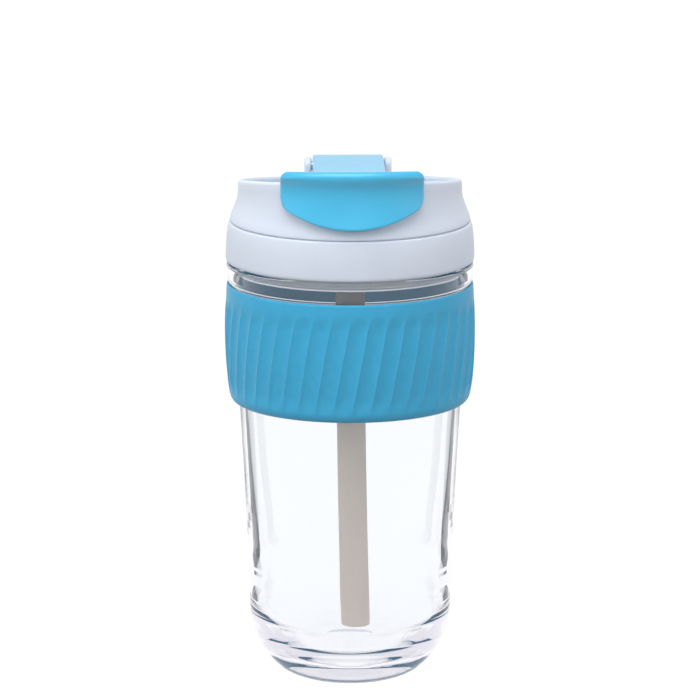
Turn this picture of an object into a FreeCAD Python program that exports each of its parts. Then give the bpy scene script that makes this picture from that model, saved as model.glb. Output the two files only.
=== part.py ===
import FreeCAD, Part
import math
import os

# Glass travel tumbler with a silicone grip sleeve, a push-in lid, a hinged flip cap and a straw.
# Millimetres, +Z up. The origin is the centre of the base on the tumbler's axis; the front is -Y.

# ---------------------------------------------------------------- driving dimensions

# glass
BASE_RING_IN = 9.5          # flat ring that the glass stands on
BASE_RING_OUT = 13.5
PUNT_RISE = 1.2             # hollow under the base
CORNER_TOP_R = 35.1         # where the rounded bottom corner meets the wall
CORNER_TOP_Z = 26.0
WALL_TOP_R = 41.7           # under the bead
WALL_TOP_Z = 139.4
BEAD_R = 42.7
BEAD_TOP_Z = 147.2
NECK_R = 41.35              # neck inside the lid's collar
RIM_Z = 157.0
MOUTH_R = 39.55             # bore of the mouth
MOUTH_BOTTOM_Z = 143.0
FLOOR_Z = 9.7
FLOOR_R = 17.0
INNER_WALL = [(39.1, 132.0), (37.7, 115.0), (35.7, 92.0), (34.3, 73.0), (33.4, 61.5), (32.5, 51.5),
              (31.9, 44.0), (32.2, 38.0), (32.7, 31.5), (32.3, 25.5), (30.8, 21.0), (27.4, 15.2),
              (23.2, 11.5)]      # (radius, height) from the mouth down to the floor

# grip sleeve
SLEEVE_BOTTOM_Z = 98.4
SLEEVE_BOTTOM_R = 41.95     # above the rounded lower edge
SLEEVE_TOP_Z = 139.8
SLEEVE_R = 43.3

# lid collar and plug
COLLAR_R = 43.0
COLLAR_BOTTOM_Z = 147.6
COLLAR_TOP_Z = 161.3
COLLAR_BORE_R = 41.7
ROOF_UNDERSIDE_Z = 157.5
PLUG_R = 38.9
PLUG_BORE_R = 36.7
PLUG_BOTTOM_Z = 143.9
SEAL_GROOVE_R = 37.9
SEAL_GROOVE_Z = (144.5, 152.3)
SEAL_RIB_R = 39.3
SEAL_RIBS = 3

# lid shell
SHELL_BOTTOM_Z = 161.6
SHELL_BOTTOM_R = 41.5
SHELL_WALL_R = 38.6
SHELL_BORE_R = 36.1
RIM_HEIGHT_AT_AXIS = 175.7
RIM_SLOPE = 0.1423          # the rim falls by this much per millimetre towards the rear
RIM_ROUND = 1.15
WELL_FLOOR_AT_AXIS = 167.7
WELL_FLOOR_THICK = 2.0
SPIGOT_R = 36.3
SPIGOT_BORE_R = 34.4
SPIGOT_BOTTOM_Z = 150.0
O_RING_Z = 154.0
O_RING_SECTION_R = 0.9

# straw, nozzle and vent
PORT_Y = -11.0
PORT_BOSS_R = 9.5
PORT_BOSS_Z = 171.0
PORT_R = 6.1
PORT_SOCKET_Z = 153.0
NOZZLE_R = 6.0
NOZZLE_TIP_Z = 174.2
NOZZLE_BORE_R = 4.0
STRAW_R = 5.0
STRAW_WALL = 0.8
STRAW_TOP = (-0.1, PORT_Y, 162.8)
STRAW_END = (1.7, PORT_Y, 18.6)
VENT_Y = 12.0
VENT_BOSS_R = 4.6
VENT_BOSS_Z = 170.0
VENT_R = 2.0

# flip cap and hinge
PIN_Y = 34.0
PIN_Z = 174.5
PIN_R = 1.5
PIN_CLEARANCE = 0.05
BARREL_R = 3.3
EAR_R = 2.9
EAR_IN_X = 12.75
EAR_OUT_X = 15.3
EAR_FOOT_Z = 163.0
ARM_HALF_WIDTH = 12.4
TAB_HALF_WIDTH = 24.4
TAB_TOP_Z = 185.2
TAB_BOTTOM_Z = 165.4
TAB_ARC_R = 47.4            # lower edge of the D
TAB_CORNER_R = 5.0
TAB_LIP_R = 42.6
TAB_FACE = [(44.2, 164.8), (42.5, 170.0), (39.9, 176.0), (41.3, 179.8)]      # concave, (radius, height)
TAB_THICK = 2.8             # at its lower edge
TAB_GAP = 0.6               # between the tab and the lid's wall
PAD_R = 6.6
PAD_SEAT_Z = 176.8
VENT_PAD_R = 4.0
VENT_PAD_SEAT_Z = 174.6

# cutting tools reach past every piece of the lid and the cap
UNDER = 140.0
OVER = 190.0
REACH = 60.0

AXIS = FreeCAD.Vector(0, 0, 1)
ORIGIN = FreeCAD.Vector(0, 0, 0)


# ---------------------------------------------------------------- helpers

class Outline:
    """A closed outline in the XZ plane, drawn point by point as (x, z)."""

    def __init__(self, x, z):
        self.start = FreeCAD.Vector(x, 0, z)
        self.here = self.start
        self.edges = []

    def line(self, x, z):
        there = FreeCAD.Vector(x, 0, z)
        self.edges.append(Part.LineSegment(self.here, there).toShape())
        self.here = there
        return self

    def arc(self, mid, end):
        middle = FreeCAD.Vector(mid[0], 0, mid[1])
        there = FreeCAD.Vector(end[0], 0, end[1])
        self.edges.append(Part.Arc(self.here, middle, there).toShape())
        self.here = there
        return self

    def curve(self, *poles):
        """A Bezier curve from here, through its control poles, to the last pole."""
        bezier = Part.BezierCurve()
        bezier.setPoles([self.here] + [FreeCAD.Vector(x, 0, z) for x, z in poles])
        self.edges.append(bezier.toShape())
        self.here = FreeCAD.Vector(poles[-1][0], 0, poles[-1][1])
        return self

    def through(self, points):
        """A smooth curve from here through every point."""
        spline = Part.BSplineCurve()
        spline.interpolate([self.here] + [FreeCAD.Vector(x, 0, z) for x, z in points])
        self.edges.append(spline.toShape())
        self.here = FreeCAD.Vector(points[-1][0], 0, points[-1][1])
        return self

    def face(self):
        if self.here.distanceToPoint(self.start) > 1e-6:
            self.line(self.start.x, self.start.z)
        return Part.Face(Part.Wire(self.edges))

    def spin(self):
        return self.face().revolve(ORIGIN, AXIS, 360)


def cylinder(radius, z_low, z_high, x=0.0, y=0.0):
    return Part.makeCylinder(radius, z_high - z_low, FreeCAD.Vector(x, y, z_low), AXIS)


def across(radius, half_length):
    """A cylinder along X round the hinge axis."""
    start = FreeCAD.Vector(-half_length, PIN_Y, PIN_Z)
    return Part.makeCylinder(radius, 2 * half_length, start, FreeCAD.Vector(1, 0, 0))


def side_plate(points, x_low, x_high):
    """A plate with a side outline of (y, z) points, between two X planes."""
    corners = [FreeCAD.Vector(x_low, y, z) for y, z in points]
    face = Part.Face(Part.makePolygon(corners + corners[:1]))
    return face.extrude(FreeCAD.Vector(x_high - x_low, 0, 0))


def slanted(height_at_axis, y):
    """Height of a plane parallel to the lid's slanted rim."""
    return height_at_axis - RIM_SLOPE * y


def slanted_slab(height_at_axis, thickness):
    """A wide slab whose top is parallel to the rim."""
    front = slanted(height_at_axis, -REACH)
    rear = slanted(height_at_axis, REACH)
    outline = [(-REACH, front), (REACH, rear), (REACH, rear - thickness), (-REACH, front - thickness)]
    return side_plate(outline, -REACH, REACH)


# ---------------------------------------------------------------- glass and sleeve

def glass_outer(outline):
    """The outside of the glass, from its base ring up to the top of the wall."""
    outline.line(BASE_RING_OUT, 0)
    run = CORNER_TOP_R - BASE_RING_OUT
    outline.curve((BASE_RING_OUT + 0.56 * run, 0), (CORNER_TOP_R - 0.6, 0.45 * CORNER_TOP_Z),
                  (CORNER_TOP_R, CORNER_TOP_Z))
    outline.curve((36.78, 82.9), (WALL_TOP_R, WALL_TOP_Z))
    return outline


def glass_tumbler():
    body = Outline(0, PUNT_RISE)
    body.arc((BASE_RING_IN / 2, 0.75 * PUNT_RISE), (BASE_RING_IN, 0))
    glass_outer(body)
    body.curve((WALL_TOP_R + 0.1, 140.3), (BEAD_R - 0.2, 140.2), (BEAD_R - 0.15, 142.2))
    body.curve((BEAD_R + 0.1, 144.6), (BEAD_R, BEAD_TOP_Z - 0.9))
    body.curve((BEAD_R, BEAD_TOP_Z), (NECK_R + 0.5, BEAD_TOP_Z), (NECK_R, BEAD_TOP_Z + 0.1))
    body.line(NECK_R, RIM_Z - 0.9)
    body.arc(((NECK_R + MOUTH_R) / 2, RIM_Z), (MOUTH_R, RIM_Z - 0.9))
    body.line(MOUTH_R, MOUTH_BOTTOM_Z)
    body.through(INNER_WALL + [(FLOOR_R, FLOOR_Z)])
    body.line(0, FLOOR_Z)
    return body.spin()


def grip_sleeve():
    sleeve = Outline(0, SLEEVE_BOTTOM_Z)
    sleeve.line(SLEEVE_BOTTOM_R - 2.4, SLEEVE_BOTTOM_Z)
    sleeve.curve((SLEEVE_BOTTOM_R - 1.0, SLEEVE_BOTTOM_Z), (SLEEVE_BOTTOM_R - 0.35, SLEEVE_BOTTOM_Z + 1.2),
                 (SLEEVE_BOTTOM_R, SLEEVE_BOTTOM_Z + 3.0))
    sleeve.curve((43.0, 110.0), (SLEEVE_R + 0.1, 118.0), (SLEEVE_R, 127.0))
    sleeve.curve((SLEEVE_R, 132.0), (42.8, 137.0), (42.7, 139.0))
    sleeve.curve((42.65, SLEEVE_TOP_Z), (42.0, SLEEVE_TOP_Z))
    sleeve.line(0, SLEEVE_TOP_Z)
    core = glass_outer(Outline(0, 0))
    core.line(WALL_TOP_R, SLEEVE_TOP_Z + 1)
    core.line(0, SLEEVE_TOP_Z + 1)
    return sleeve.spin().cut(core.spin())


# ---------------------------------------------------------------- lid

def lid_collar():
    collar = Outline(COLLAR_BORE_R, COLLAR_BOTTOM_Z)
    collar.line(COLLAR_R - 0.9, COLLAR_BOTTOM_Z)
    collar.arc((COLLAR_R - 0.26, COLLAR_BOTTOM_Z + 0.3), (COLLAR_R, COLLAR_BOTTOM_Z + 1.1))
    collar.curve((COLLAR_R, 154.0), (42.6, 158.0), (42.05, COLLAR_TOP_Z - 0.7))
    collar.arc((41.8, COLLAR_TOP_Z - 0.2), (41.3, COLLAR_TOP_Z))
    collar.line(PLUG_BORE_R, COLLAR_TOP_Z)
    collar.line(PLUG_BORE_R, PLUG_BOTTOM_Z)
    collar.line(PLUG_R, PLUG_BOTTOM_Z)
    collar.line(PLUG_R, SEAL_GROOVE_Z[0])
    collar.line(SEAL_GROOVE_R, SEAL_GROOVE_Z[0])
    collar.line(SEAL_GROOVE_R, SEAL_GROOVE_Z[1])
    collar.line(PLUG_R, SEAL_GROOVE_Z[1])
    collar.line(PLUG_R, ROOF_UNDERSIDE_Z)
    collar.line(COLLAR_BORE_R, ROOF_UNDERSIDE_Z)
    return collar.spin()


def seal_ring():
    gap = 0.05
    low = SEAL_GROOVE_Z[0] + gap
    high = SEAL_GROOVE_Z[1] - gap
    pitch = (high - low) / SEAL_RIBS
    ring = Outline(SEAL_GROOVE_R + gap, low)
    ring.line(PLUG_R, low)
    for index in range(SEAL_RIBS):
        bottom = low + index * pitch
        ring.arc((SEAL_RIB_R, bottom + 0.5 * pitch), (PLUG_R, bottom + pitch))
    ring.line(SEAL_GROOVE_R + gap, high)
    return ring.spin()


def rim_edges(shape):
    """The two edges round the top of the slanted rim."""
    found = []
    for edge in shape.Edges:
        heights = [point.z - slanted(RIM_HEIGHT_AT_AXIS, point.y) for point in edge.discretize(9)]
        if max(abs(height) for height in heights) < 0.01:
            found.append(edge)
    return found


def shell_wall():
    """The waisted wall, its slanted rim and the spigot that goes down into the collar."""
    groove_in = SPIGOT_R - 2 * O_RING_SECTION_R + 0.1
    wall = Outline(SPIGOT_BORE_R, SPIGOT_BOTTOM_Z)
    wall.line(SPIGOT_R, SPIGOT_BOTTOM_Z)
    wall.line(SPIGOT_R, O_RING_Z - 1.0)
    wall.line(groove_in, O_RING_Z - 1.0)
    wall.line(groove_in, O_RING_Z + 1.0)
    wall.line(SPIGOT_R, O_RING_Z + 1.0)
    wall.line(SPIGOT_R, SHELL_BOTTOM_Z)
    wall.line(SHELL_BOTTOM_R - 0.4, SHELL_BOTTOM_Z)
    wall.arc((SHELL_BOTTOM_R - 0.1, SHELL_BOTTOM_Z + 0.12), (SHELL_BOTTOM_R, SHELL_BOTTOM_Z + 0.4))
    wall.curve((41.2, 164.6), (SHELL_WALL_R, 168.2), (SHELL_WALL_R, 172.5))
    wall.line(SHELL_WALL_R, OVER)
    wall.line(SHELL_BORE_R, OVER)
    wall.line(SHELL_BORE_R, SHELL_BOTTOM_Z + 0.4)
    wall.line(SPIGOT_BORE_R, SHELL_BOTTOM_Z + 0.4)
    above_rim = slanted_slab(RIM_HEIGHT_AT_AXIS + 40.0, 40.0)
    trimmed = wall.spin().cut(above_rim)
    return trimmed.makeFillet(RIM_ROUND, rim_edges(trimmed))


def hinge_ears():
    """Two rounded uprights at the rear that carry the pin."""
    ears = []
    for side in (-1, 1):
        x_low = min(side * EAR_IN_X, side * EAR_OUT_X)
        x_high = x_low + EAR_OUT_X - EAR_IN_X
        post = side_plate([(PIN_Y - EAR_R, EAR_FOOT_Z), (PIN_Y + EAR_R, EAR_FOOT_Z),
                           (PIN_Y + EAR_R, PIN_Z), (PIN_Y - EAR_R, PIN_Z)], x_low, x_high)
        start = FreeCAD.Vector(x_low, PIN_Y, PIN_Z)
        top = Part.makeCylinder(EAR_R, x_high - x_low, start, FreeCAD.Vector(1, 0, 0))
        ears.append(post.fuse(top).common(cylinder(SHELL_WALL_R + 0.6, UNDER, OVER)))
    return ears


def lid_shell():
    floor_r = SPIGOT_R - 0.05
    floor = slanted_slab(WELL_FLOOR_AT_AXIS, WELL_FLOOR_THICK).common(cylinder(floor_r, UNDER, OVER))
    pieces = [floor, cylinder(PORT_BOSS_R, 167.0, PORT_BOSS_Z, y=PORT_Y),
              cylinder(PORT_R + 1.9, PORT_SOCKET_Z, 169.0, y=PORT_Y),
              cylinder(VENT_BOSS_R, 164.5, VENT_BOSS_Z, y=VENT_Y)]
    shell = shell_wall().fuse(pieces + hinge_ears())
    shell = shell.cut(cylinder(PORT_R, UNDER, OVER, y=PORT_Y))
    shell = shell.cut(cylinder(VENT_R, UNDER, OVER, y=VENT_Y))
    return shell.cut(across(PIN_R, EAR_OUT_X + 1))


def shell_o_ring():
    middle_r = SPIGOT_R - O_RING_SECTION_R + 0.3
    return Part.makeTorus(middle_r, O_RING_SECTION_R, FreeCAD.Vector(0, 0, O_RING_Z), AXIS)


def straw_nozzle():
    nozzle = Outline(STRAW_R, 150.5)
    nozzle.line(NOZZLE_R + 1.2, 150.5)
    nozzle.line(NOZZLE_R + 0.4, PORT_SOCKET_Z - 0.1)
    nozzle.line(NOZZLE_R, PORT_SOCKET_Z - 0.1)
    nozzle.line(NOZZLE_R, PORT_BOSS_Z + 0.05)
    nozzle.line(8.8, PORT_BOSS_Z + 0.05)
    nozzle.line(8.4, PORT_BOSS_Z + 1.1)
    nozzle.curve((6.4, PORT_BOSS_Z + 1.2), (6.3, PORT_BOSS_Z + 2.2))
    nozzle.line(6.1, NOZZLE_TIP_Z - 0.8)
    nozzle.arc((5.8, NOZZLE_TIP_Z - 0.2), (5.2, NOZZLE_TIP_Z))
    nozzle.line(NOZZLE_BORE_R + 0.4, NOZZLE_TIP_Z)
    nozzle.line(NOZZLE_BORE_R, NOZZLE_TIP_Z - 0.4)
    nozzle.line(NOZZLE_BORE_R, STRAW_TOP[2] + 0.3)
    nozzle.line(STRAW_R, STRAW_TOP[2] + 0.3)
    return nozzle.spin().translated(FreeCAD.Vector(0, PORT_Y, 0))


def straw():
    top = FreeCAD.Vector(*STRAW_TOP)
    run = FreeCAD.Vector(*STRAW_END) - top
    outside = Part.makeCylinder(STRAW_R - 0.05, run.Length, top, run)
    return outside.cut(Part.makeCylinder(STRAW_R - STRAW_WALL, run.Length, top, run))


def vent_valve():
    valve = Outline(0.8, 160.5)
    valve.line(1.3, 160.5)
    valve.line(VENT_R - 0.05, 162.5)
    valve.line(VENT_R - 0.05, VENT_BOSS_Z + 0.05)
    valve.line(3.6, VENT_BOSS_Z + 0.05)
    valve.line(3.4, VENT_BOSS_Z + 1.1)
    valve.line(0.8, VENT_BOSS_Z + 1.1)
    return valve.spin().translated(FreeCAD.Vector(0, VENT_Y, 0))


# ---------------------------------------------------------------- flip cap and hinge

def hinge_pin():
    return across(PIN_R, EAR_OUT_X - 0.1)


def tab_outline():
    """The D seen from the front: straight sides, two rounded corners and a wide arc below."""
    side = TAB_HALF_WIDTH
    arc_z = TAB_BOTTOM_Z + TAB_ARC_R
    corner_x = side - TAB_CORNER_R
    corner_z = arc_z - math.sqrt((TAB_ARC_R - TAB_CORNER_R) ** 2 - corner_x ** 2)
    lean = math.asin(corner_x / (TAB_ARC_R - TAB_CORNER_R))
    meet_x = TAB_ARC_R * math.sin(lean)
    meet_z = arc_z - TAB_ARC_R * math.cos(lean)
    half = 0.5 * (lean + 0.5 * math.pi)
    bend_x = corner_x + TAB_CORNER_R * math.sin(half)
    bend_z = corner_z - TAB_CORNER_R * math.cos(half)
    front = Outline(-side, OVER)
    front.line(-side, corner_z)
    front.arc((-bend_x, bend_z), (-meet_x, meet_z))
    front.arc((0, TAB_BOTTOM_Z), (meet_x, meet_z))
    front.arc((bend_x, bend_z), (side, corner_z))
    front.line(side, OVER)
    return front.face()


def tab_wall():
    """The front tab: a curved wall outside the lid, cut to the D."""
    inner_r = SHELL_WALL_R + TAB_GAP
    foot_r, foot_z = TAB_FACE[0]
    ring = Outline(foot_r - TAB_THICK, foot_z)
    ring.line(foot_r, foot_z)
    ring.curve(*TAB_FACE[1:])
    ring.curve((41.8, 181.2), (TAB_LIP_R, 182.0), (TAB_LIP_R, TAB_TOP_Z - 2.0))
    ring.arc((TAB_LIP_R - 0.6, TAB_TOP_Z - 0.6), (TAB_LIP_R - 2.0, TAB_TOP_Z))
    ring.line(inner_r - 2.4, TAB_TOP_Z)
    ring.line(inner_r - 2.4, 182.2)
    ring.line(inner_r, 182.2)
    ring.line(inner_r, 171.8)
    return ring.spin().common(tab_outline().extrude(FreeCAD.Vector(0, -REACH, 0)))


def cap_arm():
    """The plate that runs from the tab's lip back to the barrel."""
    top_front = TAB_TOP_Z - 0.2
    under_clear = RIM_HEIGHT_AT_AXIS + 0.45
    side_view = [(-41.0, top_front), (-2.0, 178.0), (PIN_Y, PIN_Z + BARREL_R), (PIN_Y, PIN_Z - 0.2),
                 (4.0, PIN_Z + 0.3), (-24.0, slanted(under_clear, -24.0)),
                 (-41.0, slanted(under_clear, -41.0))]
    plate = side_plate(side_view, -TAB_HALF_WIDTH, TAB_HALF_WIDTH)
    plan = [(-TAB_HALF_WIDTH, -REACH), (TAB_HALF_WIDTH, -REACH), (TAB_HALF_WIDTH, -31.0),
            (ARM_HALF_WIDTH, -21.0), (ARM_HALF_WIDTH, REACH), (-ARM_HALF_WIDTH, REACH),
            (-ARM_HALF_WIDTH, -21.0), (-TAB_HALF_WIDTH, -31.0)]
    corners = [FreeCAD.Vector(x, y, UNDER) for x, y in plan]
    outline = Part.Face(Part.makePolygon(corners + corners[:1]))
    keep = outline.extrude(FreeCAD.Vector(0, 0, OVER - UNDER))
    return plate.common(keep).common(cylinder(TAB_LIP_R - 1.5, UNDER, OVER))


def flip_cap():
    nozzle_boss = cylinder(PAD_R + 1.2, 175.8, 178.0, y=PORT_Y)
    vent_boss = cylinder(VENT_PAD_R + 1.0, 173.6, 176.0, y=VENT_Y)
    cap = tab_wall().fuse([cap_arm(), nozzle_boss, vent_boss, across(BARREL_R, ARM_HALF_WIDTH)])
    cap = cap.removeSplitter()
    cap = cap.cut(cylinder(PAD_R, UNDER, PAD_SEAT_Z, y=PORT_Y))
    cap = cap.cut(cylinder(VENT_PAD_R, UNDER, VENT_PAD_SEAT_Z, y=VENT_Y))
    return cap.cut(across(PIN_R + PIN_CLEARANCE, ARM_HALF_WIDTH + 1))


def nozzle_seal():
    pad = cylinder(PAD_R - 0.05, NOZZLE_TIP_Z + 0.3, PAD_SEAT_Z - 0.05, y=PORT_Y)
    dome_r = NOZZLE_BORE_R - 0.6
    dome = Part.makeCone(dome_r - 0.8, dome_r, 1.3, FreeCAD.Vector(0, PORT_Y, NOZZLE_TIP_Z - 0.9), AXIS)
    return pad.fuse(dome).removeSplitter()


def vent_pad():
    return cylinder(VENT_PAD_R - 0.05, VENT_BOSS_Z + 1.4, VENT_PAD_SEAT_Z - 0.05, y=VENT_Y)


# ---------------------------------------------------------------- files

PARTS = [glass_tumbler, grip_sleeve, lid_collar, seal_ring, lid_shell, shell_o_ring, straw_nozzle,
         straw, vent_valve, hinge_pin, flip_cap, nozzle_seal, vent_pad]

os.makedirs("parts", exist_ok=True)
for make in PARTS:
    shape = make()
    shape.exportStep(os.path.join("parts", make.__name__ + ".step"))
    box = shape.BoundBox
    print(make.__name__, "valid" if shape.isValid() else "NOT VALID", len(shape.Solids), "solid,",
          round(shape.Volume / 1000.0, 2), "cm3, z", round(box.ZMin, 2), round(box.ZMax, 2))
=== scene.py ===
import math

import bmesh
import bpy
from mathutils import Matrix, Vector


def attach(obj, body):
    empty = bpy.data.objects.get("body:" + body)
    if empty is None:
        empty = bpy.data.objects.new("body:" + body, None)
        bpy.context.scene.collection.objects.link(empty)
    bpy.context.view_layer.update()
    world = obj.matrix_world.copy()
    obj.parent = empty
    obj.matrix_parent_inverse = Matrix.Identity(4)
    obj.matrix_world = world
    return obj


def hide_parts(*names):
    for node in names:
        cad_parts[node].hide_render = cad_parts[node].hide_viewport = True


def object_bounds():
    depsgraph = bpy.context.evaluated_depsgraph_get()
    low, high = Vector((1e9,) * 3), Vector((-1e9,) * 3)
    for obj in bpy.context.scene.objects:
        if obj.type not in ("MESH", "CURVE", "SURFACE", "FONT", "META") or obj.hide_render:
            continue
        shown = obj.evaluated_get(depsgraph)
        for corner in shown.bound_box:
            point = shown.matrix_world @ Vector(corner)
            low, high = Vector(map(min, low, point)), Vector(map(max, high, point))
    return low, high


# Looks for the glass tumbler: every shape is drawn in millimetres in the CAD frame and scaled to
# metres as its mesh is made. The front is -Y; an azimuth is measured from the front towards +X.

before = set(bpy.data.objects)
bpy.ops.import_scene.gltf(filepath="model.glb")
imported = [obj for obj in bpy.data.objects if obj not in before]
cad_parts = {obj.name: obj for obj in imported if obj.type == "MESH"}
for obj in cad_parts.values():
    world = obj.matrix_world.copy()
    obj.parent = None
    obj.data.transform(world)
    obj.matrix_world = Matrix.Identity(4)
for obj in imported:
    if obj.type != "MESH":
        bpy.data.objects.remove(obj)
cad_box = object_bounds()

MM = 0.001
TURN = 2 * math.pi

# glass
NECK_R = 41.35
MOUTH_R = 39.55
RIM_Z = 157.0
FLOOR_Z = 9.7
WALL_LOW = (35.1, 26.0)               # radius and height where the bottom corner meets the wall
WALL_HIGH = (41.7, 139.4)             # and where the wall meets the bead
INNER_WALL = ((MOUTH_R, 143.0), (39.1, 132.0), (37.7, 115.0), (35.7, 92.0), (34.3, 73.0), (33.4, 61.5),
              (32.5, 51.5), (31.9, 44.0), (32.2, 38.0), (32.7, 31.5), (32.3, 25.5), (30.8, 21.0),
              (27.4, 15.2), (23.2, 11.5), (17.0, FLOOR_Z))

# sleeve
FLUTES = 42
FLUTE_DEPTH = 0.75
FLUTE_BEAD = 0.1                      # fine bead along each ridge
FLUTE_STEPS = 14                      # mesh columns in one flute
FLUTE_LEAN = math.radians(0.24)       # azimuth gained per millimetre of height
FLUTE_PHASE = math.radians(5.2)       # azimuth of one ridge ...
FLUTE_PHASE_Z = 124.3                 # ... at this height
SLEEVE_LOW = 98.4
SLEEVE_COLUMNS = FLUTES * FLUTE_STEPS
SLEEVE_GRIP = 0.04                    # the stretched sleeve clings to the glass this closely

# lid
RIM_SLOPE = 0.1423                    # the lid's rim falls towards the rear
RIM_AT_AXIS = 175.7
WELL_AT_AXIS = 167.7
PORT_Y = -11.0
VENT_Y = 12.0
STRAW_R = 4.95
STRAW_BORE_R = 4.2
STRAW_TOP_Z = 162.8
STRAW_END_Z = 18.6
STRAW_X = -0.15
STRAW_BEND = 1.9                      # how far the soft straw strays sideways at its lower end

# flip cap
PIN_Y = 34.0
PIN_Z = 174.5
PIN_R = 1.5
BARREL_R = 3.3
ARM_HALF = 12.4
TAB_HALF = 24.4
TAB_BOTTOM_Z = 165.4
TAB_ARC_R = 47.4
TAB_CORNER_R = 5.0
LIP_Z = 185.2
LIP_R = 42.6
LIP_ROUND = 2.0
LIP_CORNER = 1.8
TAB_INNER_R = 39.2
TAB_INNER_Z = 181.6                   # top of the tab's inner face
ARM_Y = -2.0                          # where the curved front of the arm ends
ARM_Z = 178.5                         # and its height there
ARM_RISE = 0.5                        # the arm's end stands this far above the barrel's own radius
CAP_EDGE = 0.8                        # radius of the rounded border
CAP_COLUMNS = 56


# ---------------------------------------------------------------- outlines

def bezier(p0, p1, p2, p3, steps):
    """Points along a cubic curve, without its last point."""
    points = []
    for index in range(steps):
        t = index / steps
        weights = ((1 - t) ** 3, 3 * t * (1 - t) ** 2, 3 * t * t * (1 - t), t ** 3)
        points.append(tuple(sum(w * p[axis] for w, p in zip(weights, (p0, p1, p2, p3))) for axis in (0, 1)))
    return points


def bow(p0, p1, p2, steps):
    """Points along a quadratic curve, without its last point."""
    first = tuple(a + (b - a) * 2 / 3 for a, b in zip(p0, p1))
    second = tuple(a + (b - a) * 2 / 3 for a, b in zip(p2, p1))
    return bezier(p0, first, second, p2, steps)


def through(knots, steps):
    """Points along a smooth curve through every knot, without its last point."""
    ends = [knots[0]] + list(knots) + [knots[-1]]
    points = []
    for before, here, there, after in zip(ends, ends[1:], ends[2:], ends[3:]):
        first = tuple(h + (t - b) / 6 for b, h, t in zip(before, here, there))
        second = tuple(t - (a - h) / 6 for h, t, a in zip(here, there, after))
        points += bezier(here, first, second, there, steps)
    return points


def rounded(corners, steps=5):
    """A closed outline through (r, z, radius) corners, each rounded to its radius."""
    points = []
    for index, (r, z, radius) in enumerate(corners):
        if radius <= 0:
            points.append((r, z))
            continue
        here = Vector((r, z))
        back = (Vector(corners[index - 1][:2]) - here).normalized()
        ahead = (Vector(corners[(index + 1) % len(corners)][:2]) - here).normalized()
        half = back.angle(ahead) / 2
        centre = here + (back + ahead).normalized() * (radius / math.sin(half))
        first = here + back * (radius / math.tan(half)) - centre
        last = here + ahead * (radius / math.tan(half)) - centre
        start = math.atan2(first.y, first.x)
        sweep = (math.atan2(last.y, last.x) - start + math.pi) % TURN - math.pi
        for step in range(steps + 1):
            angle = start + sweep * step / steps
            points.append((centre.x + radius * math.cos(angle), centre.y + radius * math.sin(angle)))
    return points


def radius_at(profile, z):
    """Radius at a height on a profile of rising (r, z) points."""
    for (r0, z0), (r1, z1) in zip(profile, profile[1:]):
        if z <= z1:
            return r0 + (r1 - r0) * max(0.0, z - z0) / (z1 - z0)
    return profile[-1][0]


def ease(low, high, value):
    """0 below low, 1 above high, smooth between."""
    t = min(1.0, max(0.0, (value - low) / (high - low)))
    return t * t * (3 - 2 * t)


# ---------------------------------------------------------------- meshes

def smooth(piece, angle=38):
    piece.data.shade_smooth()
    piece.data.set_sharp_from_angle(angle=math.radians(angle))


def build(name, points, faces, material):
    """A mesh piece from points in millimetres."""
    mesh = bpy.data.meshes.new(name)
    mesh.from_pydata([tuple(c * MM for c in p) for p in points], [], faces)
    shape = bmesh.new()
    shape.from_mesh(mesh)
    bmesh.ops.recalc_face_normals(shape, faces=shape.faces)
    shape.to_mesh(mesh)
    shape.free()
    mesh.materials.append(material)
    piece = bpy.data.objects.new(name, mesh)
    bpy.context.scene.collection.objects.link(piece)
    smooth(piece)
    return piece


def lathe(name, outline, material, segments=160, place=(0, 0), warp=None, open_ends=False):
    """Spins an outline of (r, z) round Z. A point at r = 0 becomes a pole. warp moves a finished point."""
    points = []
    rings = []
    for row, (r, z) in enumerate(outline):
        count = segments if r > 1e-6 else 1
        rings.append(range(len(points), len(points) + count))
        for step in range(count):
            angle = TURN * step / segments
            point = (place[0] + r * math.sin(angle), place[1] - r * math.cos(angle), z)
            points.append(warp(point, row) if warp else point)
    faces = []
    last = len(rings) if not open_ends else len(rings) - 1
    for row in range(last):
        low, high = rings[row], rings[(row + 1) % len(rings)]
        if len(low) == 1 and len(high) == 1:
            continue
        for step in range(segments):
            after = (step + 1) % segments
            if len(low) == 1:
                faces.append((low[0], high[step], high[after]))
            elif len(high) == 1:
                faces.append((low[step], high[0], low[after]))
            else:
                faces.append((low[step], high[step], high[after], low[after]))
    return build(name, points, faces, material)


def applied(piece):
    """Turns a piece's modifiers into its mesh."""
    graph = bpy.context.evaluated_depsgraph_get()
    piece.data = bpy.data.meshes.new_from_object(piece.evaluated_get(graph))
    piece.modifiers.clear()
    smooth(piece)
    return piece


def cut(piece, *cutters):
    """Takes the cutters out of the piece."""
    for cutter in cutters:
        modifier = piece.modifiers.new("cut", "BOOLEAN")
        modifier.operation = "DIFFERENCE"
        modifier.solver = "EXACT"
        modifier.object = cutter
    applied(piece)
    for cutter in cutters:
        bpy.data.objects.remove(cutter)
    return piece


def bevelled(piece, width, segments=4, angle=40):
    modifier = piece.modifiers.new("bevel", "BEVEL")
    modifier.width = width * MM
    modifier.segments = segments
    modifier.limit_method = "ANGLE"
    modifier.angle_limit = math.radians(angle)
    return applied(piece)


def rod(name, radius, half_length, material, segments=64):
    """A cylinder along X on the hinge axis."""
    points = []
    for x in (-half_length, half_length):
        for step in range(segments):
            angle = TURN * step / segments
            points.append((x, PIN_Y + radius * math.cos(angle), PIN_Z + radius * math.sin(angle)))
    faces = [tuple(range(segments)), tuple(range(segments, 2 * segments))]
    for step in range(segments):
        after = (step + 1) % segments
        faces.append((step, after, segments + after, segments + step))
    return build(name, points, faces, material)


def post(name, radius, low, high, y, material):
    """A plain round post, used as a cutter."""
    return lathe(name, [(0, low), (radius, low), (radius, high), (0, high)], material, 64, (0, y))


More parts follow.
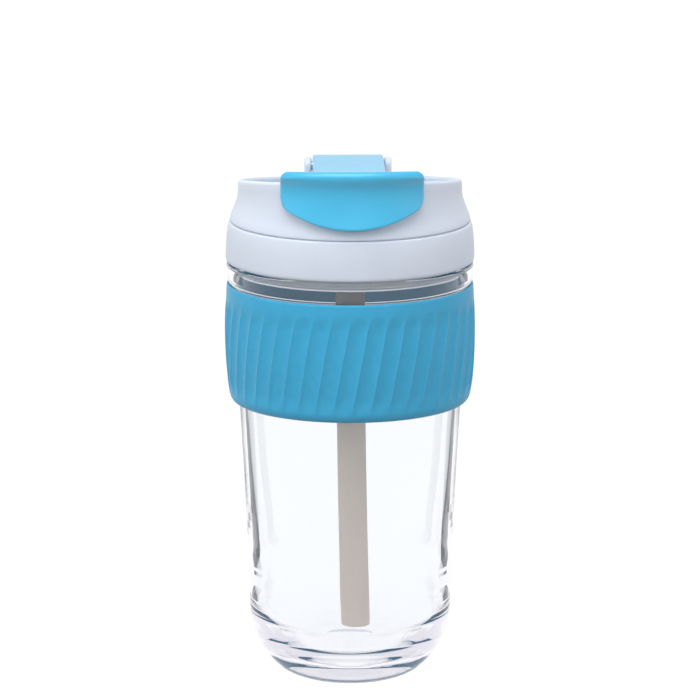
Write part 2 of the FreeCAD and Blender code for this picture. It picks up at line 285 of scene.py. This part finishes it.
# ---------------------------------------------------------------- materials

def colour(red, green, blue):
    """Display values from 0 to 255 as a linear colour."""
    linear = [((c / 255 + 0.055) / 1.055) ** 2.4 for c in (red, green, blue)]
    return (*linear, 1.0)


class Paint:
    """A Principled material with its procedural detail."""

    def __init__(self, name):
        self.material = bpy.data.materials.new(name)
        self.material.use_nodes = True
        self.nodes = self.material.node_tree.nodes
        self.links = self.material.node_tree.links
        self.shader = self.nodes["Principled BSDF"]
        self.place = self.nodes.new("ShaderNodeTexCoord").outputs["Object"]
        self.height = None

    def set(self, **values):
        for key, value in values.items():
            self.shader.inputs[key.replace("_", " ")].default_value = value
        return self

    def noise(self, scale, detail=3.0, roughness=0.5, stretch=None):
        node = self.nodes.new("ShaderNodeTexNoise")
        node.inputs["Scale"].default_value = scale
        node.inputs["Detail"].default_value = detail
        node.inputs["Roughness"].default_value = roughness
        source = self.place
        if stretch:
            mapping = self.nodes.new("ShaderNodeMapping")
            mapping.inputs["Scale"].default_value = stretch
            self.links.new(source, mapping.inputs["Vector"])
            source = mapping.outputs["Vector"]
        self.links.new(source, node.inputs["Vector"])
        return node.outputs["Fac"]

    def tint(self, noise, dark, light, low=0.35, high=0.65):
        """Colour that drifts between two tones with a noise."""
        ramp = self.nodes.new("ShaderNodeValToRGB")
        ramp.color_ramp.elements[0].position = low
        ramp.color_ramp.elements[0].color = dark
        ramp.color_ramp.elements[1].position = high
        ramp.color_ramp.elements[1].color = light
        self.links.new(noise, ramp.inputs["Fac"])
        self.links.new(ramp.outputs["Color"], self.shader.inputs["Base Color"])
        return self

    def gloss(self, noise, low, high):
        """Roughness that drifts between two values with a noise."""
        span = self.nodes.new("ShaderNodeMapRange")
        span.inputs["To Min"].default_value = low
        span.inputs["To Max"].default_value = high
        self.links.new(noise, span.inputs["Value"])
        self.links.new(span.outputs["Result"], self.shader.inputs["Roughness"])
        return self

    def bump(self, noise, strength, distance):
        node = self.nodes.new("ShaderNodeBump")
        node.inputs["Strength"].default_value = strength
        node.inputs["Distance"].default_value = distance * MM
        self.links.new(noise, node.inputs["Height"])
        if self.height:
            self.links.new(self.height, node.inputs["Normal"])
        self.height = node.outputs["Normal"]
        self.links.new(self.height, self.shader.inputs["Normal"])
        return self


def glass_paint():
    """Pressed soda-lime glass: clear, with the faint waves that a mould leaves."""
    paint = Paint("clear_glass")
    paint.set(Base_Color=(0.96, 0.972, 0.988, 1.0), Transmission_Weight=1.0, IOR=1.5)
    paint.gloss(paint.noise(30), 0.0, 0.015)
    paint.bump(paint.noise(45, detail=1.0, stretch=(1, 1, 0.35)), 0.12, 0.5)
    depth = paint.nodes.new("ShaderNodeVolumeAbsorption")
    depth.inputs["Color"].default_value = (0.965, 0.925, 0.99, 1.0)
    depth.inputs["Density"].default_value = 9.0
    paint.links.new(depth.outputs["Volume"], paint.nodes["Material Output"].inputs["Volume"])
    return paint.material


def sleeve_paint():
    paint = Paint("sleeve_silicone")
    paint.set(IOR=1.41, Sheen_Weight=0.2, Sheen_Roughness=0.4)
    paint.tint(paint.noise(420, detail=4), colour(50, 160, 200), colour(54, 163, 203))
    paint.gloss(paint.noise(260), 0.5, 0.62)
    paint.bump(paint.noise(2600, detail=2), 0.05, 0.03)
    return paint.material


def lid_paint():
    paint = Paint("lid_plastic")
    paint.set(IOR=1.49, Subsurface_Weight=0.12, Subsurface_Scale=0.003, Subsurface_Radius=(1.0, 0.95, 0.9))
    paint.tint(paint.noise(35, detail=4), colour(204, 211, 222), colour(209, 216, 227))
    paint.gloss(paint.noise(180), 0.38, 0.48)
    paint.bump(paint.noise(3200, detail=2), 0.08, 0.03)
    return paint.material


def cap_paint():
    paint = Paint("cap_plastic")
    paint.set(IOR=1.49, Subsurface_Weight=0.06, Subsurface_Scale=0.002, Subsurface_Radius=(0.2, 0.8, 1.0))
    paint.set(Coat_Weight=0.8, Coat_Roughness=0.36, Coat_IOR=1.6, Sheen_Weight=0.2, Sheen_Roughness=0.5)
    paint.tint(paint.noise(60, detail=5), colour(22, 170, 211), colour(28, 175, 216))
    paint.gloss(paint.noise(220), 0.34, 0.44)
    paint.bump(paint.noise(3000, detail=2), 0.08, 0.03)
    return paint.material


def straw_paint():
    paint = Paint("straw_plastic")
    paint.set(IOR=1.49, Subsurface_Weight=0.15, Subsurface_Scale=0.002)
    paint.tint(paint.noise(25, detail=3, stretch=(1, 1, 0.2)), colour(175, 165, 154), colour(183, 173, 163))
    paint.gloss(paint.noise(90), 0.38, 0.5)
    paint.bump(paint.noise(900, detail=2, stretch=(1, 1, 0.1)), 0.06, 0.04)
    return paint.material


def seal_paint():
    paint = Paint("seal_silicone")
    paint.set(IOR=1.41, Transmission_Weight=0.35, Subsurface_Weight=0.2, Subsurface_Scale=0.002)
    paint.tint(paint.noise(80, detail=3), colour(176, 186, 192), colour(190, 199, 204))
    paint.gloss(paint.noise(200), 0.34, 0.46)
    paint.bump(paint.noise(1500, detail=2), 0.06, 0.03)
    return paint.material


def nozzle_paint():
    paint = Paint("nozzle_silicone")
    paint.set(IOR=1.41, Subsurface_Weight=0.35, Subsurface_Scale=0.004)
    paint.tint(paint.noise(70, detail=3), colour(224, 228, 230), colour(234, 237, 239))
    paint.gloss(paint.noise(180), 0.42, 0.52)
    paint.bump(paint.noise(1500, detail=2), 0.06, 0.03)
    return paint.material


def steel_paint():
    paint = Paint("pin_steel")
    paint.set(Metallic=1.0, Base_Color=(0.62, 0.63, 0.64, 1.0))
    paint.gloss(paint.noise(400, stretch=(0.1, 1, 1)), 0.2, 0.34)
    paint.bump(paint.noise(1500, stretch=(0.05, 1, 1)), 0.1, 0.02)
    return paint.material


GLASS = glass_paint()
SLEEVE = sleeve_paint()
LID = lid_paint()
CAP = cap_paint()
STRAW = straw_paint()
SEAL = seal_paint()
NOZZLE = nozzle_paint()
STEEL = steel_paint()


# ---------------------------------------------------------------- glass and sleeve

def glass_r(z):
    """Outer radius of the glass wall at a height."""
    rise = z - WALL_LOW[1]
    return WALL_LOW[0] + 0.02948 * rise + 2.506e-4 * rise * rise


def glass_outline():
    base_in, base_out, punt = 9.5, 13.5, 1.2
    heel_low, heel_high = (27.5, 5.75), (30.3, 9.6)       # the mould's two heel lines
    points = bow((0, punt), (base_in * 0.6, punt), (base_in, 0), 10)
    points.append((base_in, 0))
    points += bezier((base_out, 0), (19.0, 0.1), (24.0, 2.0), heel_low, 40)
    points += bow(heel_low, (29.1, 7.5), heel_high, 6)
    points += bezier(heel_high, (33.6, 14.2), (34.9, 19.5), WALL_LOW, 24)
    points += bow(WALL_LOW, (36.78, 82.9), WALL_HIGH, 60)
    points += bezier(WALL_HIGH, (41.8, 140.3), (42.5, 140.2), (42.55, 142.2), 8)
    points += bow((42.55, 142.2), (42.8, 144.6), (42.7, 146.3), 8)
    points += bezier((42.7, 146.3), (42.7, 147.2), (41.85, 147.2), (NECK_R, 147.5), 10)
    points.append((NECK_R, 150.0))
    points += bezier((NECK_R, 156.0), (NECK_R, RIM_Z + 0.3), (MOUTH_R, RIM_Z + 0.3), (MOUTH_R, 156.0), 10)
    points += through(INNER_WALL, 9)
    points += [(17.0, FLOOR_Z), (8.0, FLOOR_Z - 0.1), (0, FLOOR_Z - 0.1)]
    return points


def make_glass():
    glass = lathe("tumbler_glass", glass_outline(), GLASS, 256)
    smooth(glass, 80)
    glass.visible_shadow = False
    return glass


def sleeve_outline():
    """Outer and inner outline of the sleeve as (r, z, flute share)."""
    low = SLEEVE_LOW
    bottom = bezier((39.4, low), (40.7, low), (41.5, low + 0.9), (41.95, low + 3.0), 10)
    side = bezier((41.95, low + 3.0), (42.9, 108.0), (43.3, 116.0), (43.3, 124.0), 44)
    side += bezier((43.3, 124.0), (43.3, 131.5), (42.85, 136.0), (42.72, 138.6), 30)
    lip = bezier((42.72, 138.6), (42.68, 139.6), (42.4, 139.8), (42.1, 139.75), 8)
    inside = []
    for step in range(13):
        z = 139.4 - (139.0 - low) * step / 12
        inside.append((glass_r(z) - SLEEVE_GRIP, z))
    outline = []
    for r, z in bottom + side + lip + inside:
        outer = r > glass_r(z) + 1.2
        share = ease(low + 1.8, low + 8.5, z) * (1 - ease(130.0, 136.5, z)) if outer else 0.0
        outline.append((r, z, share))
    return outline


def make_sleeve():
    outline = sleeve_outline()
    points = []
    for r, z, share in outline:
        for step in range(SLEEVE_COLUMNS):
            across = abs(2 * (step % FLUTE_STEPS) / FLUTE_STEPS - 1)      # 1 on a ridge, 0 in a valley
            hollow = FLUTE_DEPTH * (1 - across ** 2) - (FLUTE_BEAD if across == 1 else 0.0)
            radius = r - share * hollow
            angle = TURN * step / SLEEVE_COLUMNS + FLUTE_PHASE + FLUTE_LEAN * (z - FLUTE_PHASE_Z)
            points.append((radius * math.sin(angle), -radius * math.cos(angle), z))
    faces = []
    for row in range(len(outline)):
        low = row * SLEEVE_COLUMNS
        high = (row + 1) % len(outline) * SLEEVE_COLUMNS
        for step in range(SLEEVE_COLUMNS):
            after = (step + 1) % SLEEVE_COLUMNS
            faces.append((low + step, high + step, high + after, low + after))
    sleeve = build("fluted_sleeve", points, faces, SLEEVE)
    smooth(sleeve, 60)
    return sleeve


# ---------------------------------------------------------------- lid

# outside of the lid shell's waist
WAIST = bezier((41.5, 162.0), (41.2, 164.6), (38.6, 168.2), (38.6, 172.5), 24) + [(38.6, 172.5)]


def shell_outline():
    """The lid shell's section, and how far each point leans with the slanted rim."""
    wall_r, bore_r, crest, fillet, floor_thick = 38.6, 36.1, 1.2, 1.8, 2.0
    rows = [(36.3, 161.4, 0.0), (40.6, 161.4, 0.0), (41.05, 161.48, 0.0), (41.35, 161.7, 0.0)]
    for r, z in WAIST:
        rows.append((r, z, ease(165.0, RIM_AT_AXIS - crest, z)))
    for step in range(9):
        angle = math.pi * step / 8
        middle = (wall_r + bore_r) / 2
        half = (wall_r - bore_r) / 2
        rows.append((middle + half * math.cos(angle), RIM_AT_AXIS - crest + crest * math.sin(angle), 1.0))
    for step in range(7):
        angle = math.pi / 2 * step / 6
        inward = bore_r - fillet + fillet * math.cos(angle)
        rows.append((inward, WELL_AT_AXIS + fillet - fillet * math.sin(angle), 1.0))
    for r in (30.0, 24.0, 18.0, 12.0, 6.0, 0.0):
        rows.append((r, WELL_AT_AXIS, 1.0))
    for r in (0.0, 12.0, 24.0, 33.0, 34.4):
        rows.append((r, WELL_AT_AXIS - floor_thick, 1.0))
    rows += [(34.4, 152.0, 0.0), (34.7, 150.0, 0.0), (36.0, 150.0, 0.0), (36.3, 151.0, 0.0)]
    return rows


def make_shell():
    rows = shell_outline()

    def lean(point, row):
        return (point[0], point[1], point[2] - rows[row][2] * RIM_SLOPE * point[1])

    shell = lathe("lid_housing", [(r, z) for r, z, _ in rows], LID, 224, warp=lean)
    port_cutter = post("port_cutter", 7.0, 150, 180, PORT_Y, LID)
    vent_cutter = post("vent_cutter", 3.0, 150, 180, VENT_Y, LID)
    cut(shell, port_cutter, vent_cutter)
    smooth(shell, 50)
    port_section = rounded([(6.1, 153, 0.3), (8.0, 153, 0.4), (8.0, 167, 0), (9.5, 167, 0), (9.5, 171, 0.8),
                            (6.1, 171, 0.3)])
    port = lathe("straw_port", port_section, LID, 96, (0, PORT_Y))
    vent_section = rounded([(2.0, 164.5, 0.2), (4.6, 164.5, 0.3), (4.6, 170, 0.7), (2.0, 170, 0.2)])
    vent = lathe("vent_boss", vent_section, LID, 64, (0, VENT_Y))
    return [shell, port, vent]


def make_ear(name, side):
    """A rounded upright that carries one end of the pin."""
    inner, outer, radius = 12.75, 15.3, 2.9
    outline = [(PIN_Y - radius - 1.6, 162.8), (PIN_Y - radius - 0.5, 168.0)]
    for step in range(25):
        angle = math.pi - math.pi * step / 24
        outline.append((PIN_Y + radius * math.cos(angle), PIN_Z + radius * math.sin(angle)))
    outline += [(PIN_Y + radius, 168.0), (PIN_Y + radius, 162.8)]
    count = len(outline)
    points = [(side * x, y, z) for x in (inner, outer) for y, z in outline]
    faces = [tuple(range(count)), tuple(range(count, 2 * count))]
    for step in range(count):
        after = (step + 1) % count
        faces.append((step, after, count + after, count + step))
    ear = bevelled(build(name, points, faces, LID), 0.75, 4, 30)
    return cut(ear, rod("pin_hole", PIN_R + 0.04, 30, LID))


def make_collar():
    outline = bezier((42.0, 147.6), (42.7, 147.6), (43.0, 148.1), (43.0, 149.2), 10)
    outline += bezier((43.0, 149.2), (43.0, 154.0), (42.6, 158.0), (42.05, 160.4), 16)
    outline += bezier((42.05, 160.4), (41.95, 161.1), (41.6, 161.4), (40.9, 161.4), 8)
    outline += rounded([(40.9, 161.4, 0), (36.7, 161.4, 0.4), (36.7, 143.9, 0.4), (38.9, 143.9, 0.25),
                        (38.9, 144.5, 0.1), (37.9, 144.5, 0), (37.9, 152.3, 0), (38.9, 152.3, 0.1),
                        (38.9, 157.5, 0.5), (41.7, 157.5, 0.4), (41.7, 147.6, 0.12), (41.95, 147.6, 0)], 4)
    return lathe("collar_band", outline, LID, 224)


def make_seal():
    low, high, ribs = 144.55, 152.25, 3
    pitch = (high - low) / ribs
    outline = [(37.95, low), (38.7, low)]
    for rib in range(ribs):
        bottom = low + rib * pitch
        for step in range(9):
            share = step / 8
            outline.append((min(39.58, 38.75 + 1.1 * math.sin(math.pi * share)), bottom + pitch * share))
    outline += [(38.7, high), (37.95, high)]
    return lathe("ribbed_seal", outline, SEAL, 224)


def make_straw():
    """A soft tube that bends slightly to one side towards its lower end."""
    length = STRAW_TOP_Z - STRAW_END_Z
    skin = [(STRAW_R, STRAW_TOP_Z - 0.3 - (length - 0.6) * step / 40) for step in range(41)]
    bore = [(STRAW_BORE_R, z) for _, z in reversed(skin)]
    outline = [(STRAW_R - 0.3, STRAW_TOP_Z)] + skin + [(STRAW_R - 0.3, STRAW_END_Z)] + bore

    def bend(point, row):
        share = (STRAW_TOP_Z - point[2]) / length
        return (point[0] + STRAW_BEND * share ** 2.4, point[1], point[2])

    return lathe("drinking_straw", outline, STRAW, 96, (STRAW_X, PORT_Y), warp=bend)


def make_nozzle():
    outline = rounded([(5.0, 150.5, 0.2), (7.2, 150.5, 0.4), (6.4, 152.9, 0.1), (6.05, 152.9, 0),
                       (6.05, 171.05, 0), (8.8, 171.05, 0.2), (8.5, 172.1, 0.5), (6.7, 172.2, 0.7),
                       (6.1, 174.2, 0.9), (4.0, 174.2, 0.5), (4.0, 163.1, 0.2), (5.0, 163.1, 0.1)])
    return lathe("straw_mouthpiece", outline, NOZZLE, 96, (0, PORT_Y))


def make_vent_valve():
    outline = rounded([(0.8, 160.5, 0.1), (1.3, 160.5, 0.2), (1.95, 162.5, 0.3), (1.95, 170.05, 0),
                       (3.6, 170.05, 0.1), (3.4, 171.1, 0.4), (0.8, 171.1, 0.2)], 4)
    return lathe("air_valve", outline, NOZZLE, 48, (0, VENT_Y))


# ---------------------------------------------------------------- flip cap

# the tab's outside: bowed in below the lip and out again to its lower edge
TAB_FACE = bezier((44.2, 165.0), (42.5, 170.0), (39.9, 176.0), (41.3, 179.8), 24)
TAB_FACE += bezier((41.3, 179.8), (41.8, 181.2), (LIP_R, 182.0), (LIP_R, 183.2), 10) + [(LIP_R, 183.2)]


def tab_bottom(x, inset):
    """Height of the D-shaped tab's lower edge: a wide arc between two rounded corners."""
    arc_r, corner_r = TAB_ARC_R - inset, TAB_CORNER_R - inset
    arc_z = TAB_BOTTOM_Z + TAB_ARC_R
    corner_x = TAB_HALF - TAB_CORNER_R
    corner_z = arc_z - math.sqrt((TAB_ARC_R - TAB_CORNER_R) ** 2 - corner_x ** 2)
    if abs(x) < corner_x * arc_r / (TAB_ARC_R - TAB_CORNER_R):
        return arc_z - math.sqrt(arc_r ** 2 - x * x)
    return corner_z - math.sqrt(max(0.0, corner_r ** 2 - (abs(x) - corner_x) ** 2))


def cap_rows():
    """Stations along the cap from the tab's lower edge, over the lip and back to the barrel.

    Each is (kind, outer point, inner point, half width, plan curvature)."""
    rows = []
    for step in range(30):
        rows.append(("tab", step / 30, step / 30, TAB_HALF, 1.0))
    for step in range(11):
        angle = math.pi / 2 * step / 10
        outer = (LIP_R - LIP_ROUND * (1 - math.cos(angle)), LIP_Z - LIP_ROUND * (1 - math.sin(angle)))
        inner = (TAB_INNER_R - (1 - math.cos(angle)), TAB_INNER_Z + 0.7 * math.sin(angle))
        rows.append(("arm", outer, inner, TAB_HALF - LIP_CORNER * (1 - math.cos(angle)), 1.0))
    wide = TAB_HALF - LIP_CORNER
    steps = 34
    path = bezier((-(LIP_R - LIP_ROUND), LIP_Z), (-37.0, LIP_Z - 0.3), (-20.0, 180.4), (ARM_Y, ARM_Z), steps)
    path.append((ARM_Y, ARM_Z))
    for step, (y, z) in enumerate(path[1:], 1):
        share = step / steps
        inner = (38.2 - 36.2 * share, z - 2.9 - 0.6 * share)
        half = wide + (ARM_HALF - wide) * ease(-38.5, -24.0, y)
        rows.append(("arm", (-y, z), inner, half, 1 - ease(-38.0, -20.0, y)))
    for step in range(1, 9):
        y = ARM_Y + (PIN_Y - ARM_Y) * step / 8
        z = ARM_Z + (PIN_Z + BARREL_R + ARM_RISE - ARM_Z) * step / 8
        under = (-min(y, PIN_Y - 2.0 + 0.5 * (step - 8)), z - 3.5 + 0.1 * step / 8)
        rows.append(("arm", (-y, z), under, ARM_HALF, 0.0))
    for step in range(1, 13):
        angle = math.pi / 2 - (math.pi / 2 - 0.12) * step / 12
        below = math.pi + 0.15 + (math.pi - 0.27) * step / 12
        radius = BARREL_R + ARM_RISE * math.sin(angle) ** 2
        outer = (-(PIN_Y + radius * math.cos(angle)), PIN_Z + radius * math.sin(angle))
        inner = (-(PIN_Y + BARREL_R * math.cos(below)), PIN_Z + BARREL_R * math.sin(below))
        rows.append(("arm", outer, inner, ARM_HALF, 0.0))
    return rows


def cap_skin(row, across, inset, side):
    """A point of the outer skin (side 1) or the inner skin (side 2); across runs from -1 to 1."""
    kind, half, curve = row[0], row[3], row[4]
    x = across * (half - inset)
    if kind == "tab":
        low = tab_bottom(x, inset)
        high = LIP_Z - LIP_ROUND if side == 1 else TAB_INNER_Z
        high -= RIM_SLOPE * (LIP_R - math.sqrt(LIP_R ** 2 - x * x))
        z = low + (high - low) * row[side]
        radius = radius_at(TAB_FACE, z) if side == 1 else max(TAB_INNER_R, radius_at(WAIST, z) + 0.6)
        return Vector((x, -math.sqrt(radius * radius - x * x), z))
    radius, z = row[side]
    if curve > 0:
        bulge = curve * (radius - math.sqrt(max(0.0, radius * radius - x * x)))
        return Vector((x, -radius + bulge, z - RIM_SLOPE * bulge))
    return Vector((x, -radius, z))


def make_cap():
    """Two skins joined round the edge by a rounded border."""
    rows = cap_rows()
    shares = []
    for step in range(CAP_COLUMNS + 1):
        even = 2 * step / CAP_COLUMNS - 1
        shares.append(0.45 * even + 0.55 * math.sin(math.pi / 2 * even))
    wide = CAP_COLUMNS + 1
    count = len(rows)
    points, faces = [], []
    for side in (1, 2):
        base = len(points)
        points += [cap_skin(row, share, CAP_EDGE, side) for row in rows for share in shares]
        for row in range(count - 1):
            for step in range(CAP_COLUMNS):
                corner = base + row * wide + step
                faces.append((corner, corner + 1, corner + wide + 1, corner + wide))
    border = [(row, 0) for row in reversed(range(count))]
    border += [(0, step) for step in range(1, wide)]
    border += [(row, CAP_COLUMNS) for row in range(1, count)]
    rings = [[row * wide + step for row, step in border]]
    quarter = (22.5, 45.0, 67.5, 90.0)
    stations = [(angle, False) for angle in quarter] + [(180.0 - angle, True) for angle in reversed(quarter)]
    for angle, near_inner in stations:
        turn = math.radians(angle)
        ring = []
        for row, step in border:
            inset = CAP_EDGE * (1 - math.sin(turn))
            outer = cap_skin(rows[row], shares[step], inset, 1)
            inner = cap_skin(rows[row], shares[step], inset, 2)
            thick = (outer - inner).length
            edge = min(CAP_EDGE, thick / 2)
            depth = thick - edge * (1 + math.cos(turn)) if near_inner else edge * (1 - math.cos(turn))
            ring.append(len(points))
            points.append(outer.lerp(inner, depth / thick))
        rings.append(ring)
    rings.append([count * wide + row * wide + step for row, step in border])
    for first, following in zip(rings, rings[1:]):
        for step in range(len(border) - 1):
            faces.append((first[step], first[step + 1], following[step + 1], following[step]))
    last = (count - 1) * wide
    end = [last + step for step in range(wide)]
    end += [ring[-1] for ring in rings[1:-1]]
    end += [count * wide + last + step for step in reversed(range(wide))]
    end += [ring[0] for ring in reversed(rings[1:-1])]
    faces.append(tuple(end))
    cap = build("flip_lid_cap", points, faces, CAP)
    smooth(cap, 40)
    cut(cap, rod("barrel_bore", PIN_R + 0.05, 20, CAP))
    return cap


def make_pads():
    nozzle = rounded([(0, 173.5, 0), (2.8, 173.5, 0.5), (3.4, 174.5, 0), (6.6, 174.5, 0.5), (6.6, 176.7, 0),
                      (0, 176.7, 0)])
    vent = rounded([(0, 171.4, 0), (3.95, 171.4, 0.5), (3.95, 175.4, 0), (0, 175.4, 0)])
    nozzle_piece = lathe("nozzle_pad", nozzle, NOZZLE, 72, (0, PORT_Y))
    vent_piece = lathe("air_pad", vent, NOZZLE, 48, (0, VENT_Y))
    return nozzle_piece, vent_piece


# ---------------------------------------------------------------- assembly

def add(piece, body, slot, *nodes):
    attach(piece, body)
    if nodes:
        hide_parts(*nodes)


add(make_glass(), "cup", "clear_glass", "glass_tumbler")
add(make_sleeve(), "cup", "sleeve_silicone", "grip_sleeve")
shell_pieces = make_shell() + [make_ear("hinge_ear_left", -1), make_ear("hinge_ear_right", 1)]
for shell_piece in shell_pieces:
    add(shell_piece, "lid", "lid_plastic", "lid_shell")
add(make_collar(), "lid", "lid_plastic", "lid_collar")
add(make_seal(), "gasket", "seal_silicone", "seal_ring")
add(make_straw(), "lid", "straw_plastic", "straw")
add(make_nozzle(), "lid", "nozzle_silicone", "straw_nozzle")
add(make_vent_valve(), "lid", "nozzle_silicone", "vent_valve")
add(make_cap(), "cap", "cap_plastic", "flip_cap")
nozzle_pad, air_pad = make_pads()
add(nozzle_pad, "cap", "nozzle_silicone", "nozzle_seal")
add(air_pad, "cap", "nozzle_silicone", "vent_pad")

for node, material in (("hinge_pin", STEEL), ("shell_o_ring", SEAL)):
    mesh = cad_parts[node].data
    mesh.materials.clear()
    mesh.materials.append(material)


# ---------------------------------------------------------------- stage, light and camera

def emission(name, strength, tone=(1, 1, 1, 1), diffuse=None):
    """A glowing stage material; diffuse adds a plain matt surface that still takes shadows."""
    material = bpy.data.materials.new(name)
    material.use_nodes = True
    shader = material.node_tree.nodes["Principled BSDF"]
    shader.inputs["Base Color"].default_value = (diffuse, diffuse, diffuse, 1) if diffuse else (0, 0, 0, 1)
    shader.inputs["Roughness"].default_value = 1.0
    shader.inputs["Specular IOR Level"].default_value = 0.0
    shader.inputs["Emission Color"].default_value = tone
    shader.inputs["Emission Strength"].default_value = strength
    return material


def make_floor():
    paint = emission("pale_floor", 0.97, diffuse=0.06)
    floor = lathe("studio_floor", [(0, 0), (8000, 0)], paint, 96, open_ends=True)
    floor.location.z = cad_box[0].z - 0.0002
    floor.visible_diffuse = False


def through_glass_only(piece):
    """Leaves a stage piece out of everything but what is seen through the glass."""
    piece.visible_camera = False
    piece.visible_diffuse = False
    piece.visible_glossy = False
    piece.visible_shadow = False


def flag_material():
    """Dark to light that was reflected inside the glass, clear to everything seen straight through it."""
    material = emission("flag_gray", 0.06, (0.8, 0.95, 1.3, 1))
    nodes, links = material.node_tree.nodes, material.node_tree.links
    path = nodes.new("ShaderNodeLightPath")
    reflected = nodes.new("ShaderNodeMath")
    reflected.operation = "GREATER_THAN"
    reflected.inputs[1].default_value = 0.5
    links.new(path.outputs["Glossy Depth"], reflected.inputs[0])
    mix = nodes.new("ShaderNodeMixShader")
    links.new(reflected.outputs["Value"], mix.inputs["Fac"])
    links.new(nodes.new("ShaderNodeBsdfTransparent").outputs["BSDF"], mix.inputs[1])
    links.new(nodes["Principled BSDF"].outputs["BSDF"], mix.inputs[2])
    links.new(mix.outputs["Shader"], nodes["Material Output"].inputs["Surface"])
    return material


def make_flags():
    """Dark strips on the floor behind the glass, whose wall bends them into its dark edge lines."""
    half_angle, near, far, lift = 11, 90, 1500, 0.5
    dark = flag_material()
    for index, middle in enumerate((-135, 135)):
        points = []
        for edge in (-half_angle, half_angle):
            angle = math.radians(middle + edge)
            for reach in (near, far):
                points.append((reach * math.sin(angle), -reach * math.cos(angle), lift))
        flag = build("flag_" + str(index), points, [(0, 1, 3, 2)], dark)
        through_glass_only(flag)


def make_ceiling():
    """A pale dome that the thick base of the glass picks up."""
    radius = 3000
    profile = []
    for degrees in range(4, 90, 4):
        angle = math.radians(degrees)
        profile.append((radius * math.cos(angle), radius * math.sin(angle)))
    paint = emission("ceiling_glow", 0.86, (0.97, 0.97, 1.0, 1))
    ceiling = lathe("pale_ceiling", profile + [(0, radius)], paint, 64, open_ends=True)
    through_glass_only(ceiling)


def make_world():
    """A sky that is dim below, white round the horizon and gray-blue above."""
    below = (0.22, 0.23, 0.25, 1)
    horizon = (1.0, 1.0, 1.0, 1)
    above = (0.42, 0.445, 0.49, 1)
    zenith = (0.50, 0.53, 0.58, 1)
    world = bpy.data.worlds.new("studio")
    bpy.context.scene.world = world
    world.use_nodes = True
    nodes, links = world.node_tree.nodes, world.node_tree.links
    direction = nodes.new("ShaderNodeTexCoord").outputs["Generated"]
    split = nodes.new("ShaderNodeSeparateXYZ")
    links.new(direction, split.inputs["Vector"])
    ramp = nodes.new("ShaderNodeValToRGB")
    span = nodes.new("ShaderNodeMapRange")
    span.inputs["From Min"].default_value = -1.0
    links.new(split.outputs["Z"], span.inputs["Value"])
    links.new(span.outputs["Result"], ramp.inputs["Fac"])
    levels = ramp.color_ramp.elements
    levels[0].position = 0.0
    levels[0].color = below
    levels[1].position = 1.0
    levels[1].color = zenith
    for position, tone in ((0.47, below), (0.49, horizon), (0.65, horizon), (0.75, above)):
        stop = levels.new(position)
        stop.color = tone
    links.new(ramp.outputs["Color"], nodes["Background"].inputs["Color"])


def make_lamp(name, azimuth, elevation, distance, size, power, tone=(1, 1, 1), mirrored=True):
    """A square soft light that faces the middle of the tumbler."""
    centre = (cad_box[0] + cad_box[1]) / 2
    across, up = math.radians(azimuth), math.radians(elevation)
    away = Vector((math.sin(across) * math.cos(up), -math.cos(across) * math.cos(up), math.sin(up)))
    lamp = bpy.data.lights.new(name, "AREA")
    lamp.energy = power
    lamp.size = size
    lamp.color = tone
    holder = bpy.data.objects.new(name, lamp)
    holder.location = centre + away * distance
    holder.rotation_mode = "QUATERNION"
    holder.rotation_quaternion = away.to_track_quat("Z", "Y")
    holder.visible_camera = False
    holder.visible_glossy = mirrored
    holder.visible_transmission = False
    bpy.context.scene.collection.objects.link(holder)


def make_camera():
    """The camera looks down at 12 degrees and stands slightly to the left of the front."""
    pitch, yaw, distance = math.radians(12), math.radians(-1.3), 1.740
    target = Vector((0, 0, 0.1154))
    away = Vector((math.sin(yaw) * math.cos(pitch), -math.cos(yaw) * math.cos(pitch), math.sin(pitch)))
    data = bpy.data.cameras.new("camera")
    data.lens = 257.7
    data.sensor_width = 36
    data.clip_start = 0.05
    data.clip_end = 50
    camera = bpy.data.objects.new("camera", data)
    camera.location = target + away * distance
    camera.rotation_mode = "QUATERNION"
    camera.rotation_quaternion = (-away).to_track_quat("-Z", "Y")
    bpy.context.scene.collection.objects.link(camera)
    bpy.context.scene.camera = camera


make_floor()
make_flags()
make_ceiling()
make_world()
make_lamp("top_softbox", -14, 66, 1.2, 1.1, 12)
make_lamp("left_softbox", -64, 22, 1.4, 0.7, 5, tone=(0.96, 0.98, 1.0), mirrored=False)
make_lamp("right_fill", 60, 20, 1.5, 0.8, 3, tone=(1.0, 0.97, 1.0), mirrored=False)
make_camera()
bpy.context.scene.view_settings.view_transform = "Standard"

# the thick base of the glass passes light on many times before it leaves
cycles = bpy.context.scene.cycles
cycles.max_bounces = 40
cycles.glossy_bounces = 32
cycles.transmission_bounces = 32
